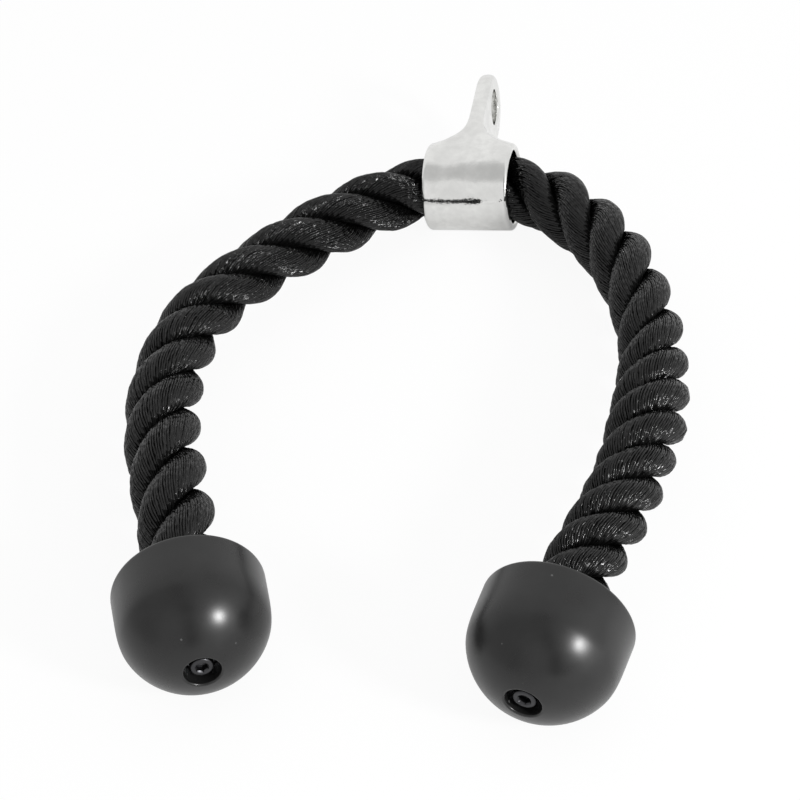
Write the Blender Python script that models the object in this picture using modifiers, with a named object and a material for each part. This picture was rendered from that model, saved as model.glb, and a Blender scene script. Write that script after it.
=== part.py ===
"""A triceps rope: a thick three-strand rope that runs through a chromed cast collar with a hanging eye,
and carries a moulded bell-shaped stopper, held by a cap screw, on each end.

It lies flat on a table: +X is the collar's bore, +Y points from the stoppers to the eye, +Z is up.
Lengths are in metres. The collar's bore is the drawing's datum, and stand_on_origin() moves the whole
part at the end.
"""

import math

import bmesh
import bpy
from mathutils import Matrix, Vector

# Fits
SEAT_GAP = 0.0003  # between pieces that touch
PIN_GAP = 0.0003  # round a screw's shank

# Rope
ROPE_R = 0.014
LEFT_LENGTH = 0.3027  # along the rope, from the collar's mouth to a stopper's face
RIGHT_LENGTH = 0.2936  # the collar stands a little off the rope's middle
BEND_LENGTH = 0.060  # the stretch next to the collar that bends in use
HINGE_AT = 0.024  # where the middle of that bend lies, from the collar's mouth
MOUTH_HEADING_DEG = 17.0
TUBE_STEP = 0.0145  # between the points of a tube
TUBE_LEAD = 0.0010  # straight at each end of a tube, so that its cap is square to the rope
ROUTE_STEP = 0.0005

# Where along a leg its direction is read, as shares of its length, and that direction, turned from +-X to -Y
LEFT_ROUTE_SHARES = (0.0, 0.067, 0.168, 0.268, 0.369, 0.519, 0.670, 0.771, 1.0)
LEFT_HEADINGS_DEG = (MOUTH_HEADING_DEG, 37.2, 49.9, 55.0, 64.1, 91.1, 105.9, 114.1, 113.5)
RIGHT_ROUTE_SHARES = (0.0, 0.067, 0.168, 0.268, 0.419, 0.570, 0.720, 0.871, 1.0)
RIGHT_HEADINGS_DEG = (MOUTH_HEADING_DEG, 38.2, 50.9, 63.8, 74.0, 86.8, 96.3, 107.3, 99.8)

# Sleeve round the rope inside the collar
SLEEVE_WALL = 0.0017
SLEEVE_PLAY = 0.0005  # between the sleeve and the bore, and between its end and the rope's bend
SLEEVE_R = ROPE_R + SEAT_GAP + SLEEVE_WALL

# Collar: barrel
BORE_R = SLEEVE_R + SLEEVE_PLAY
BARREL_WALL = 0.0034
BARREL_R = BORE_R + BARREL_WALL
BARREL_HALF = 0.0197
MOUTH_RUN = 0.0100  # the stretch inside each mouth along which the rope starts to bend
CENTRE_HALF = BARREL_HALF - MOUTH_RUN  # half of the straight stretch inside the collar
SLEEVE_HALF = CENTRE_HALF - SLEEVE_PLAY
RIM_ROUND = 0.0018
MOUTH_ROUND = 0.0011

# Collar: eye plate and the flares that carry it
EYE_REACH = 0.0508  # from the bore's axis to the eye's centre
EYE_HOLE_R = 0.0083
EYE_RIM = 0.0070  # round the hole
EYE_R = EYE_HOLE_R + EYE_RIM
EYE_HOLE_ROUND = 0.0009
PLATE_HALF = 0.0034
PLATE_ROUND = 0.0024
FLARE_RUN = BARREL_HALF - RIM_ROUND - PLATE_HALF  # along the bore, from the plate to the barrel's rim
FLARE_RISE = 0.0160  # over the barrel's skin
FLARE_KNEE = 0.0044  # how high its slope would meet the plate
FLARE_PULL_SHARE = 0.92
SOFTEN_SHARE = 0.6
EYE_LIFT_DEG = 12.0  # the plate's slope over the table
LEAN = math.asin((BARREL_R - EYE_R) / EYE_REACH)  # between the eye's direction and the outline's straight lines
TOUCH = math.atan2(EYE_R * math.cos(LEAN), EYE_REACH + EYE_R * math.sin(LEAN))  # where these leave the eye

# Steel cup on the rope's end
CUP_WALL = 0.0012
CUP_FLOOR = 0.0015
CUP_LIP = 0.0003  # the cup's mouth, inside the stopper's face
CUP_BEAD = 0.0003
CUP_R = ROPE_R + SEAT_GAP + CUP_WALL

# Stopper, turned about its own axis: 0 is the dome's centre, + points to the screw
STOPPER_WALL = 0.0121
DOME_R = CUP_R + SEAT_GAP + STOPPER_WALL
FACE_BACK = 0.0132  # from the dome's centre back to the flat face
FACE_ROUND = 0.0016
SKIRT_RISE = 0.0003  # of the skirt's wide end over the dome
SKIRT_R = DOME_R + SKIRT_RISE
WAIST_DEPTH = 0.0003
WAIST_BACK = 0.0035  # from the dome's centre
PITCH = math.asin(SKIRT_RISE / (FACE_BACK - FACE_ROUND))  # it lies on its dome and its skirt, so the screw dips
RECESS_ROUND = 0.0007
SOCKET_LIP_ROUND = 0.0010

# Screw joint inside each stopper
HEAD_R = 0.00425
HEAD_HEIGHT = 0.0050
HEAD_ROUND = 0.0006
HEAD_BELOW_MOUTH = 0.0016
HEX_FLATS = 0.0040
HEX_DEPTH = 0.0026
SHANK_R = 0.0025
SHANK_LENGTH = 0.0200
SHANK_TIP = 0.0005
WASHER_RIM = 0.00175  # past the screw's head
WASHER_R = HEAD_R + WASHER_RIM
WASHER_THICK = 0.0009
WASHER_PLAY = 0.0005
RECESS_R = WASHER_R + WASHER_PLAY
NUT_FLATS = 0.0080
NUT_HEIGHT = 0.0040

# Facets
FINE, MEDIUM, COARSE = 40, 32, 24
EYE_STEPS, FLANK_STEPS, BACK_STEPS = 9, 13, 10
RIM_STEPS, FLARE_STEPS, ROUND_STEPS = 2, 7, 3

TOP = Vector((0, 0, 1))


def clear_scene():
    for old in list(bpy.data.objects):
        bpy.data.objects.remove(old, do_unlink=True)


def new_collection(name, hidden=False):
    made = bpy.data.collections.new(name)
    bpy.context.scene.collection.children.link(made)
    made.hide_render = hidden
    return made


def material(name, colour, roughness, metallic=0.0):
    made = bpy.data.materials.new(name)
    made.use_nodes = True
    shader = made.node_tree.nodes["Principled BSDF"]
    shader.inputs["Base Color"].default_value = (*colour, 1.0)
    shader.inputs["Roughness"].default_value = roughness
    shader.inputs["Metallic"].default_value = metallic
    return made


def arc(centre, radius, start_deg, end_deg, steps):
    """Points (r, z) on an arc of a turned profile. 0 degrees points out, 90 up."""
    turns = [math.radians(start_deg + (end_deg - start_deg) * k / steps) for k in range(steps + 1)]
    return [(centre[0] + radius * math.cos(t), centre[1] + radius * math.sin(t)) for t in turns]


def new_object(name, mesh, where):
    made = bpy.data.objects.new(name, mesh)
    where.objects.link(made)
    return made


def turned(name, profile, where, steps=MEDIUM, closed=True):
    """A profile of (r, z) points, outer side from top to bottom, turned about Z by a Screw modifier."""
    mesh = bpy.data.meshes.new(name)
    count = len(profile)
    edges = [(k, k + 1) for k in range(count - 1)] + ([(count - 1, 0)] if closed else [])
    mesh.from_pydata([(r, 0, z) for r, z in profile], edges, [])
    made = new_object(name, mesh, where)
    screw = made.modifiers.new("turn", "SCREW")
    screw.axis = "Z"
    screw.angle = math.tau
    screw.steps = screw.render_steps = steps
    screw.use_merge_vertices = True
    screw.merge_threshold = 0.00001
    return made


def prism(name, flats, bottom, top, where):
    """A hexagonal bar between two heights on Z, from its width over flats."""
    bm = bmesh.new()
    bmesh.ops.create_cone(
        bm,
        cap_ends=True,
        segments=6,
        radius1=flats / math.sqrt(3),
        radius2=flats / math.sqrt(3),
        depth=top - bottom,
        matrix=Matrix.Translation((0, 0, (top + bottom) / 2)),
    )
    mesh = bpy.data.meshes.new(name)
    bm.to_mesh(mesh)
    bm.free()
    return new_object(name, mesh, where)


def cut(target, cutter, name):
    cutter.display_type = "WIRE"
    cutter.hide_render = True
    made = target.modifiers.new(name, "BOOLEAN")
    made.operation = "DIFFERENCE"
    made.solver = "EXACT"
    made.object = cutter


def tube(name, points, where):
    """A stretch of rope as a round tube through the points."""
    data = bpy.data.curves.new(name, "CURVE")
    data.dimensions = "3D"
    data.bevel_depth = ROPE_R
    data.bevel_resolution = 4
    data.use_fill_caps = True
    spline = data.splines.new("POLY")
    spline.points.add(len(points) - 1)
    for slot, point in zip(spline.points, points):
        slot.co = (*point, 1)
    return new_object(name, data, where)


def empty(name, at, parent, where):
    made = bpy.data.objects.new(name, None)
    made.empty_display_size = ROPE_R
    where.objects.link(made)
    made.parent = parent
    made.location = Vector(at) - (Vector(parent["datum"]) if parent else Vector())
    made["datum"] = Vector(at)
    return made


def place(made, parent, paint, matrix=None):
    """Hangs a piece on an empty. matrix is the piece's place from the collar's bore."""
    made.parent = parent
    made.matrix_basis = Matrix.Translation(-Vector(parent["datum"])) @ (matrix or Matrix.Identity(4))
    made.data.materials.append(paint)
    return made


def smooth(made, angle_deg=35.0):
    made.data.shade_smooth()
    if made.type == "MESH" and made.data.polygons:
        made.data.set_sharp_from_angle(angle=math.radians(angle_deg))
    return made


# The rope's route


def route(side, length, shares, headings_deg):
    """Points every ROUTE_STEP from the bore's middle to a stopper's face, each with its distance past the
    collar's mouth and its direction. Between two of the shares the rope bends at an even rate. It rises from the
    bore to the stopper, and comes down to it at the stopper's own pitch."""
    at = Vector((side * CENTRE_HALF, 0, BARREL_R))
    marks = [-(BARREL_HALF - CENTRE_HALF), *(s * length for s in shares)]
    turns = [0.0, *headings_deg]
    rise = DOME_R + FACE_BACK * math.sin(PITCH) - BARREL_R
    dip = -math.tan(PITCH) * length
    found, along = [], marks[0]
    while along < length + ROUTE_STEP / 2:
        k = max(i for i in range(len(marks) - 1) if marks[i] <= along + ROUTE_STEP / 10)
        part = (along - marks[k]) / (marks[k + 1] - marks[k])
        turn = math.radians(turns[k] + (turns[k + 1] - turns[k]) * min(part, 1.0))
        way = Vector((side * math.cos(turn), -math.sin(turn), 0))
        share = min(max(along, 0.0) / length, 1.0)
        at.z = BARREL_R + rise * (3 - 2 * share) * share**2 + dip * (share - 1) * share**2
        slope = (6 * rise * (1 - share) * share + dip * (3 * share - 2) * share) / length
        found.append((along, at.copy(), (way + TOP * slope).normalized()))
        at = at + way * ROUTE_STEP
        along += ROUTE_STEP
    return found


def at_distance(run, along):
    """The point and the direction at a distance past the mouth."""
    k = max(i for i in range(len(run) - 1) if i == 0 or run[i][0] <= along)
    part = (along - run[k][0]) / (run[k + 1][0] - run[k][0])
    return run[k][1].lerp(run[k + 1][1], part), run[k][2].lerp(run[k + 1][2], part).normalized()


def stretch(run, start, end, tail=0.0):
    """Points of the rope's middle line between two distances past the mouth, and on straight for tail."""
    first, last = start + TUBE_LEAD, end - (0.0 if tail else TUBE_LEAD)
    count = max(2, round((last - first) / TUBE_STEP))
    points = [at_distance(run, first + (last - first) * k / count)[0] for k in range(count + 1)]
    head, way = at_distance(run, start)
    points[0] = head + way * TUBE_LEAD
    tip, out = at_distance(run, end)
    if not tail:
        points[-1] = tip - out * TUBE_LEAD
    return [head, *points, tip + out * tail]


# The collar, drawn about its bore, with the eye along +Y before it is lifted


def outline(turn):
    """How far the outline round barrel and eye lies from the bore's axis, in a direction turned from the eye's.
    The outline is the eye's circle, the barrel's, and the two straight lines that touch both."""
    if turn <= TOUCH:
        off = EYE_REACH * math.sin(turn)
        return EYE_REACH * math.cos(turn) + math.sqrt(max(EYE_R * EYE_R - off * off, 0.0))
    if turn < math.pi / 2 - LEAN:
        return BARREL_R / math.cos(math.pi / 2 - LEAN - turn)
    return BARREL_R


def directions():
    """From the eye's direction to the opposite one: even steps round the eye, along the straight line, where they
    get closer towards the barrel, and round the barrel."""
    eye = [(math.pi / 2 - LEAN) * k / EYE_STEPS for k in range(EYE_STEPS)]
    found = [math.atan2(EYE_R * math.sin(a), EYE_REACH + EYE_R * math.cos(a)) for a in eye]
    whole = math.tan(math.pi / 2 - LEAN - TOUCH)
    for k in range(FLANK_STEPS):
        found.append(math.pi / 2 - LEAN - math.atan(whole * (1 - k / FLANK_STEPS) ** 1.3))
    first = math.pi / 2 - LEAN
    return found + [first + (math.pi - first) * k / BACK_STEPS for k in range(BACK_STEPS + 1)]


def flare(t):
    """A point (x, height over the barrel's skin) on the curve that climbs from the barrel's rim to the plate. Its
    two straight directions meet in a knee, which the curve rounds."""
    foot, knee, top = (PLATE_HALF + FLARE_RUN, 0.0), (PLATE_HALF, FLARE_KNEE), (PLATE_HALF, FLARE_RISE)
    a, b, c, d = (1 - t) ** 3, 3 * (1 - t) ** 2 * t, 3 * (1 - t) * t * t, t**3
    pull = FLARE_PULL_SHARE
    bends = [(f + pull * (k - f), n + pull * (k - n)) for f, k, n in zip(foot, knee, top)]
    return tuple(a * f + b * near + c * far + d * n for f, (near, far), n in zip(foot, bends, top))


def climb(height):
    """Where on that curve it is that high."""
    low, high = 0.0, 1.0
    for _ in range(30):
        middle = (low + high) / 2
        low, high = (middle, high) if flare(middle)[1] < height else (low, middle)
    return high


def skin(turn):
    """The casting's skin in one direction, from the barrel's rim to the middle, as (x, distance from the bore's
    axis): round the rim, up the flare, along the plate's side and round its edge. The outline cuts it short."""
    found = []
    for k in range(RIM_STEPS + 1):
        t = math.pi / 2 * k / RIM_STEPS
        found.append((BARREL_HALF - RIM_ROUND * (1 - math.cos(t)), BARREL_R - RIM_ROUND * (1 - math.sin(t))))
    room = outline(turn) - BARREL_R
    soften = min(PLATE_ROUND, room * SOFTEN_SHARE)
    end = climb(room - soften) if room > soften else 0.0
    for k in range(1, FLARE_STEPS + 1):
        x, height = flare(end * k / FLARE_STEPS)
        found.append((x, BARREL_R + height))
    found.append((found[-1][0], BARREL_R + room - soften))
    start, corner = found[-1], (flare(climb(room))[0] if room > 0 else found[-1][0], BARREL_R + room)
    stop = (corner[0] - soften, corner[1])
    for k in range(1, ROUND_STEPS + 1):
        t = k / ROUND_STEPS
        a, b, c = (1 - t) ** 2, 2 * t * (1 - t), t * t
        found.append(tuple(a * s + b * m + c * e for s, m, e in zip(start, corner, stop)))
    return found


def loft(name, rings, where):
    """Skins a row of unlike cross-sections with the same number of points, and closes both ends."""
    bm = bmesh.new()
    rows = [[bm.verts.new(point) for point in ring] for ring in rings]
    count = len(rings[0])
    for near, far in zip(rows, rows[1:]):
        for k in range(count):
            bm.faces.new((near[k], near[(k + 1) % count], far[(k + 1) % count], far[k]))
    bm.faces.new(reversed(rows[0]))
    bm.faces.new(rows[-1])
    bmesh.ops.remove_doubles(bm, verts=bm.verts, dist=ROUTE_STEP / 100)
    bmesh.ops.recalc_face_normals(bm, faces=bm.faces)
    mesh = bpy.data.meshes.new(name)
    bm.to_mesh(mesh)
    bm.free()
    return new_object(name, mesh, where)


def make_collar(parts, cutters, axis, chrome):
    turns = directions()
    turns += [-turn for turn in reversed(turns[1:-1])]
    skins = [skin(abs(turn)) for turn in turns]
    half = [
        [Vector((x, reach * math.cos(turn), reach * math.sin(turn))) for turn, (x, reach) in zip(turns, ring)]
        for ring in zip(*skins)
    ]
    other = [[Vector((-p.x, p.y, p.z)) for p in ring] for ring in half]
    lift = Matrix.Rotation(math.radians(EYE_LIFT_DEG), 4, "X")
    body = loft("collar", other + half[::-1], parts)
    place(body, axis, chrome, Matrix.Translation((0, 0, BARREL_R)) @ lift)

    past = BARREL_HALF + MOUTH_ROUND
    right = arc((BORE_R + MOUTH_ROUND, BARREL_HALF - MOUTH_ROUND), MOUTH_ROUND, 90, 180, 3)
    left = [(r, -z) for r, z in reversed(right)]
    wide = BORE_R + MOUTH_ROUND
    profile = [(0.0, past), (wide, past), *right, *left, (wide, -past), (0.0, -past)]
    bore = turned("bore_cutter", profile, cutters, steps=FINE, closed=False)
    along = Matrix.Rotation(math.pi / 2, 4, "Y")
    place(bore, axis, chrome, Matrix.Translation((0, 0, BARREL_R)) @ along)
    cut(body, bore, "bore")

    past = PLATE_HALF + EYE_HOLE_ROUND
    right = arc((EYE_HOLE_R + EYE_HOLE_ROUND, PLATE_HALF - EYE_HOLE_ROUND), EYE_HOLE_ROUND, 90, 180, 2)
    left = [(r, -z) for r, z in reversed(right)]
    wide = EYE_HOLE_R + EYE_HOLE_ROUND
    profile = [(0.0, past), (wide, past), *right, *left, (wide, -past), (0.0, -past)]
    eye = turned("eye_cutter", profile, cutters, steps=MEDIUM, closed=False)
    at = Matrix.Translation((0, 0, BARREL_R)) @ lift @ Matrix.Translation((0, EYE_REACH, 0)) @ along
    place(eye, axis, chrome, at)
    cut(body, eye, "eye")
    return smooth(body, 40.0)


# The stopper and what holds it, all on one axis


def stopper_profile():
    floor = recess_floor()
    mouth = math.asin((RECESS_R + RECESS_ROUND) / DOME_R)
    dome = arc((0.0, 0.0), DOME_R, 90 - math.degrees(mouth), 0, 9)
    waist = []
    for k in range(3):
        share = (1 - math.cos(math.pi * k / 3)) / 2
        back = WAIST_BACK + (FACE_BACK - FACE_ROUND - WAIST_BACK) * k / 3
        waist.append((DOME_R - WAIST_DEPTH + (WAIST_DEPTH + SKIRT_RISE) * share, -back))
    face = arc((SKIRT_R - FACE_ROUND, -(FACE_BACK - FACE_ROUND)), FACE_ROUND, 0, -90, 4)
    socket = CUP_R + SEAT_GAP
    lip = arc((socket + SOCKET_LIP_ROUND, -(FACE_BACK - SOCKET_LIP_ROUND)), SOCKET_LIP_ROUND, -90, -180, 2)
    shelf = cup_top() + SEAT_GAP
    hole = SHANK_R + PIN_GAP
    return [
        *dome,
        *waist,
        *face,
        *lip,
        (socket, shelf),
        (hole, shelf),
        (hole, floor),
        (RECESS_R, floor),
        (RECESS_R, mouth_height() - RECESS_ROUND),
    ]


def mouth_height():
    return math.sqrt(DOME_R**2 - (RECESS_R + RECESS_ROUND) ** 2)


def head_bottom():
    return mouth_height() - HEAD_BELOW_MOUTH - HEAD_HEIGHT


def recess_floor():
    return head_bottom() - 2 * SEAT_GAP - WASHER_THICK


def nut_bottom():
    """The screw's tip is flush with the nut."""
    return head_bottom() - SHANK_LENGTH


def cup_top():
    return nut_bottom() + NUT_HEIGHT + SEAT_GAP + CUP_FLOOR


def rope_end():
    """Where the rope stops inside the cup, under the nut."""
    return nut_bottom() - SEAT_GAP


def screw_profile():
    base = head_bottom()
    top = base + HEAD_HEIGHT
    tip = base - SHANK_LENGTH
    return [
        (0.0, top),
        *arc((HEAD_R - HEAD_ROUND, top - HEAD_ROUND), HEAD_ROUND, 90, 0, 3),
        (HEAD_R, base),
        (SHANK_R, base),
        (SHANK_R, tip + SHANK_TIP),
        (SHANK_R - SHANK_TIP, tip),
        (0.0, tip),
    ]


def cup_profile():
    """An open cup pressed on the rope's end, its mouth rolled out a little."""
    inner, outer, mouth = ROPE_R + SEAT_GAP, CUP_R, CUP_LIP - FACE_BACK
    return [
        (outer - CUP_FLOOR / 2, cup_top()),
        (outer, cup_top() - CUP_FLOOR / 2),
        (outer, mouth + CUP_WALL),
        (outer - CUP_BEAD, mouth),
        (inner, mouth),
        (inner, cup_top() - CUP_FLOOR),
        (SHANK_R + PIN_GAP, cup_top() - CUP_FLOOR),
        (SHANK_R + PIN_GAP, cup_top()),
    ]


def washer_profile():
    low = recess_floor() + SEAT_GAP
    hole = SHANK_R + PIN_GAP
    return [(WASHER_R, low + WASHER_THICK), (WASHER_R, low), (hole, low), (hole, low + WASHER_THICK)]


def make_end(side_name, run, parts, cutters, hinge, paints):
    """The stopper, cup, nut, washer and cap screw on one rope end."""
    _, face, way = run[-1]
    centre = face + way * FACE_BACK
    across = TOP.cross(way).normalized()
    axes = Matrix((across, way.cross(across), way)).transposed().to_4x4()
    seat = Matrix.Translation(centre) @ axes

    stopper = turned(f"stopper_{side_name}", stopper_profile(), parts, steps=FINE)
    place(stopper, hinge, paints["rubber"], seat)
    cup = turned(f"rope_cup_{side_name}", cup_profile(), parts, steps=MEDIUM)
    place(cup, hinge, paints["zinc"], seat)
    washer = turned(f"washer_{side_name}", washer_profile(), parts, steps=COARSE)
    place(washer, hinge, paints["zinc"], seat)

    screw = turned(f"cap_screw_{side_name}", screw_profile(), parts, steps=COARSE, closed=False)
    place(screw, hinge, paints["black_steel"], seat)
    top = head_bottom() + HEAD_HEIGHT
    socket = prism(f"hex_cutter_{side_name}", HEX_FLATS, top - HEX_DEPTH, top + HEX_DEPTH, cutters)
    place(socket, hinge, paints["black_steel"], seat)
    cut(screw, socket, "hex socket")

    nut = prism(f"cup_nut_{side_name}", NUT_FLATS, nut_bottom(), nut_bottom() + NUT_HEIGHT, parts)
    place(nut, hinge, paints["zinc"], seat)
    low, high = nut_bottom() - NUT_HEIGHT, nut_bottom() + 2 * NUT_HEIGHT
    hole_r = SHANK_R + PIN_GAP
    profile = [(0.0, high), (hole_r, high), (hole_r, low), (0.0, low)]
    hole = turned(f"nut_cutter_{side_name}", profile, cutters, steps=COARSE, closed=False)
    place(hole, hinge, paints["zinc"], seat)
    cut(nut, hole, "thread")
    return centre, way


def make_rope(parts, swivel, hinges, runs, yarn):
    half = CENTRE_HALF - SEAT_GAP / 2
    middle = [Vector((x, 0, BARREL_R)) for x in (-half, 0.0, half)]
    place(tube("rope_centre", middle, parts), swivel, yarn)
    inside = CENTRE_HALF - BARREL_HALF
    tail = FACE_BACK + rope_end()
    for side_name, run in runs.items():
        bend = stretch(run, inside + SEAT_GAP / 2, BEND_LENGTH - SEAT_GAP / 2)
        place(tube(f"rope_bend_{side_name}", bend, parts), swivel, yarn)
        leg = stretch(run, BEND_LENGTH + SEAT_GAP / 2, run[-1][0], tail)
        place(tube(f"rope_leg_{side_name}", leg, parts), hinges[side_name], yarn)


def make_sleeve(parts, swivel, paint):
    inner, outer = ROPE_R + SEAT_GAP, SLEEVE_R
    profile = [(outer, SLEEVE_HALF), (outer, -SLEEVE_HALF), (inner, -SLEEVE_HALF), (inner, SLEEVE_HALF)]
    made = turned("grip_sleeve", profile, parts, steps=MEDIUM)
    along = Matrix.Rotation(math.pi / 2, 4, "Y")
    place(made, swivel, paint, Matrix.Translation((0, 0, BARREL_R)) @ along)


def stand_on_origin(axis, pieces):
    """Moves the part so that the box round its rigid pieces has the origin under its middle."""
    bpy.context.view_layer.update()
    graph = bpy.context.evaluated_depsgraph_get()
    corners = []
    for piece in pieces:
        shown = piece.evaluated_get(graph)
        corners += [shown.matrix_world @ v.co for v in shown.to_mesh().vertices]
        shown.to_mesh_clear()
    low = Vector(min(c[k] for c in corners) for k in range(3))
    high = Vector(max(c[k] for c in corners) for k in range(3))
    axis.location = axis.location - Vector(((low.x + high.x) / 2, (low.y + high.y) / 2, low.z))
    bpy.context.view_layer.update()
    return axis.matrix_world.translation


def main():
    clear_scene()
    parts = new_collection("triceps_rope")
    cutters = new_collection("cutters", hidden=True)
    paints = {
        "yarn": material("black_rope_yarn", (0.018, 0.018, 0.019), 0.50),
        "chrome": material("polished_chrome", (0.80, 0.80, 0.78), 0.12, 1.0),
        "rubber": material("black_moulded_rubber", (0.030, 0.030, 0.032), 0.38),
        "zinc": material("zinc_plate", (0.55, 0.56, 0.58), 0.35, 1.0),
        "black_steel": material("black_oxide_steel", (0.06, 0.06, 0.065), 0.40, 1.0),
        "liner": material("black_liner", (0.025, 0.025, 0.025), 0.60),
    }
    axis = empty("bore_axis", (0, 0, 0), None, parts)
    swivel = empty("rope_swivel", (0, 0, BARREL_R), axis, parts)
    runs = {
        "left": route(-1, LEFT_LENGTH, LEFT_ROUTE_SHARES, LEFT_HEADINGS_DEG),
        "right": route(1, RIGHT_LENGTH, RIGHT_ROUTE_SHARES, RIGHT_HEADINGS_DEG),
    }
    hinges = {
        name: empty(f"{name}_bend_axis", at_distance(run, HINGE_AT)[0], swivel, parts)
        for name, run in runs.items()
    }
    make_collar(parts, cutters, axis, paints["chrome"])
    make_sleeve(parts, swivel, paints["liner"])
    make_rope(parts, swivel, hinges, runs, paints["yarn"])
    ends = {
        name: make_end(name, run, parts, cutters, hinges[name], paints) for name, run in runs.items()
    }
    solid = [o for o in parts.objects if o.type in ("MESH", "CURVE")]
    moved = stand_on_origin(axis, [o for o in solid if not o.name.startswith("rope_") or "cup" in o.name])
    for made in solid:
        if made.name != "collar" and made.type == "MESH":
            smooth(made)
    print("bore axis at", [round(v, 5) for v in moved + Vector((0, 0, BARREL_R))])
    for name in runs:
        print(name, "bend axis at", [round(v, 5) for v in hinges[name].matrix_world.translation])
        centre, way = ends[name]
        print(name, "dome centre", [round(v, 5) for v in centre + moved], "way", [round(v, 4) for v in way])


main()
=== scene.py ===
import math

import bpy
import numpy as np
from mathutils import Matrix, Vector

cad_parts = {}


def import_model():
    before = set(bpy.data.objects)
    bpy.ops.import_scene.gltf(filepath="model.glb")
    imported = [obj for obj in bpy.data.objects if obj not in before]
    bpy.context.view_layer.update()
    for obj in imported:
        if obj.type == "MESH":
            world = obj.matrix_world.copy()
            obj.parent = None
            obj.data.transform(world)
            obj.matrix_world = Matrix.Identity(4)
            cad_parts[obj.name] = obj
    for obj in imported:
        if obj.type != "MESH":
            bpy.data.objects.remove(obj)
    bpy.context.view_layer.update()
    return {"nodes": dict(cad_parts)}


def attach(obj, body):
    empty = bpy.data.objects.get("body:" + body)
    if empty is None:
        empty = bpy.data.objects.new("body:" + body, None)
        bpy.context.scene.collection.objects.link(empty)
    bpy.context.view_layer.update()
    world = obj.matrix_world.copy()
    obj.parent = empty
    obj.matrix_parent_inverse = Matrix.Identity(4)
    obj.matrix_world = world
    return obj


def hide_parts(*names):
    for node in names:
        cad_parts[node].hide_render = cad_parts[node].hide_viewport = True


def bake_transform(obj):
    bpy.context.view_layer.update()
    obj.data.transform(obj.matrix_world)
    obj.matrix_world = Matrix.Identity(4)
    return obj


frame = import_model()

# A triceps rope: the laid rope, its chromed collar and the moulded stopper with its cap screw on each end, in
# the photograph's view, room and light. Lengths are in metres.

SIDE_NAMES = ("left", "right")

# Rope and route, as in part.py
BORE = Vector((-0.01099, 0.12023, 0.01989))  # the middle of the collar's bore
LEFT_LENGTH, RIGHT_LENGTH = 0.3027, 0.2936  # along the rope, from the collar's mouth to a stopper's face
MOUTH_HEADING_DEG = 17.0
# Where along a leg its direction is read, as shares of its length, and that direction, turned from +-X to -Y
LEFT_ROUTE_SHARES = (0.0, 0.067, 0.168, 0.268, 0.369, 0.519, 0.670, 0.771, 1.0)
LEFT_HEADINGS_DEG = (MOUTH_HEADING_DEG, 37.2, 49.9, 55.0, 64.1, 91.1, 105.9, 114.1, 113.5)
RIGHT_ROUTE_SHARES = (0.0, 0.067, 0.168, 0.268, 0.419, 0.570, 0.720, 0.871, 1.0)
RIGHT_HEADINGS_DEG = (MOUTH_HEADING_DEG, 38.2, 50.9, 63.8, 74.0, 86.8, 96.3, 107.3, 99.8)
ROPE_TAIL = 0.01326  # how far the rope runs into the stopper
ROUTE_STEP = 0.0005

# Collar, as in part.py but for PLATE_ROUND, which is 0.0024 there
BARREL_R, BARREL_HALF, BORE_R = 0.0199, 0.0197, 0.0165
CENTRE_HALF = 0.0097  # half of the straight stretch inside the collar
RIM_ROUND, MOUTH_ROUND = 0.0018, 0.0011
EYE_REACH = 0.0508  # from the bore's axis to the eye's centre
EYE_R, EYE_HOLE_R, EYE_HOLE_ROUND = 0.0153, 0.0083, 0.0009
PLATE_HALF, PLATE_ROUND = 0.0034, 0.0033
FLARE_RUN = BARREL_HALF - RIM_ROUND - PLATE_HALF  # along the bore, from the plate to the barrel's rim
FLARE_RISE = 0.0160  # over the barrel's skin
FLARE_KNEE = 0.0044  # how high its slope would meet the plate
FLARE_PULL_SHARE = 0.92
SOFTEN_SHARE = 0.6
EYE_LIFT_DEG = 12.0  # the plate's slope over the table
LEAN = math.asin((BARREL_R - EYE_R) / EYE_REACH)  # of the outline's straight lines from the eye's direction
TOUCH = math.atan2(EYE_R * math.cos(LEAN), EYE_REACH + EYE_R * math.sin(LEAN))  # where these leave the eye

# Stopper and cap screw, as in part.py and rounded to 0.01 mm, but for SHELF, which is 0.00646 there. Heights
# are past the dome's centre, towards the screw.
DOME_R, SKIRT_R = 0.0279, 0.0282
FACE_BACK, FACE_ROUND = 0.0132, 0.0016  # from the dome's centre back to the flat face
PITCH = math.asin((SKIRT_R - DOME_R) / (FACE_BACK - FACE_ROUND))  # it lies on its dome and its skirt
SOCKET_R, SOCKET_LIP, SHELF = 0.0158, 0.0010, 0.0062  # the bore that takes the rope's cup, and its floor
RECESS_R, RECESS_FLOOR, RECESS_ROUND = 0.0065, 0.01886, 0.0007
HOLE_R = 0.0028
HEAD_R, HEAD_LOW, HEAD_TOP = 0.00425, 0.02036, 0.02536
SHANK_R, SHANK_LOW, SHANK_TIP = 0.0025, 0.00036, 0.0005
HEX_FLATS, HEX_DEPTH = 0.0040, 0.0026


# Camera, fitted to the photograph and placed from the spot on the table under the middle of the bore

LENS_MM, SENSOR_MM = 86.3, 36.0
CAMERA_PLACE = Vector((0.18262, -0.70496, 0.5220))
CAMERA_RIGHT, CAMERA_UP = Vector((0.96999, 0.19975, -0.13857)), Vector((-0.02981, 0.6634, 0.74767))
CLIP_START, CLIP_END = 0.01, 20.0


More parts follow.
